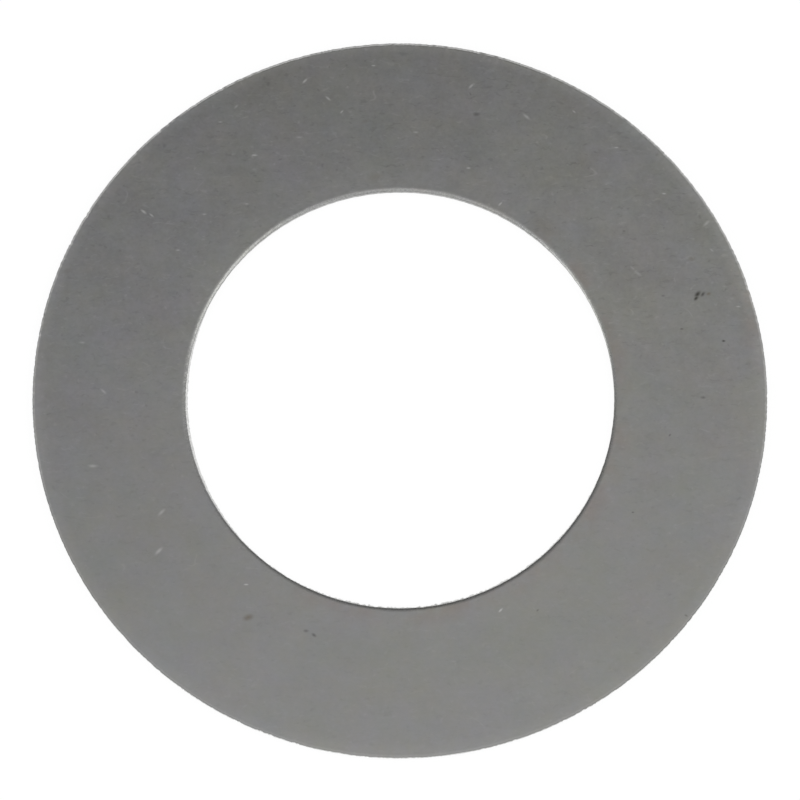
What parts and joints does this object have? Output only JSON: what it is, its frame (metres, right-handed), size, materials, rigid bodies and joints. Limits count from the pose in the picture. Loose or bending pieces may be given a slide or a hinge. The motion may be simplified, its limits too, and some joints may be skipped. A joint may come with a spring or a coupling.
{
  "type": "shim ring",
  "caption": "Thin flat steel ring with a plain round bore, cut from strip, that fills a small gap on a shaft and takes up its end float.",
  "frame": {"origin": "on the bore's axis, in the lower face", "axes": "+Z along the bore's axis, out of the upper face, where the bore's edge is rolled over and the rim's edge is torn; X and Y lie in the lower face"},
  "size_m": [0.0138, 0.0138, 0.0002],
  "materials": {
    "steel": "matt cold-rolled, with fine rolling lines"
  },
  "bodies": {
    "root": {"shim_ring": "steel"}
  },
  "joints": []
}
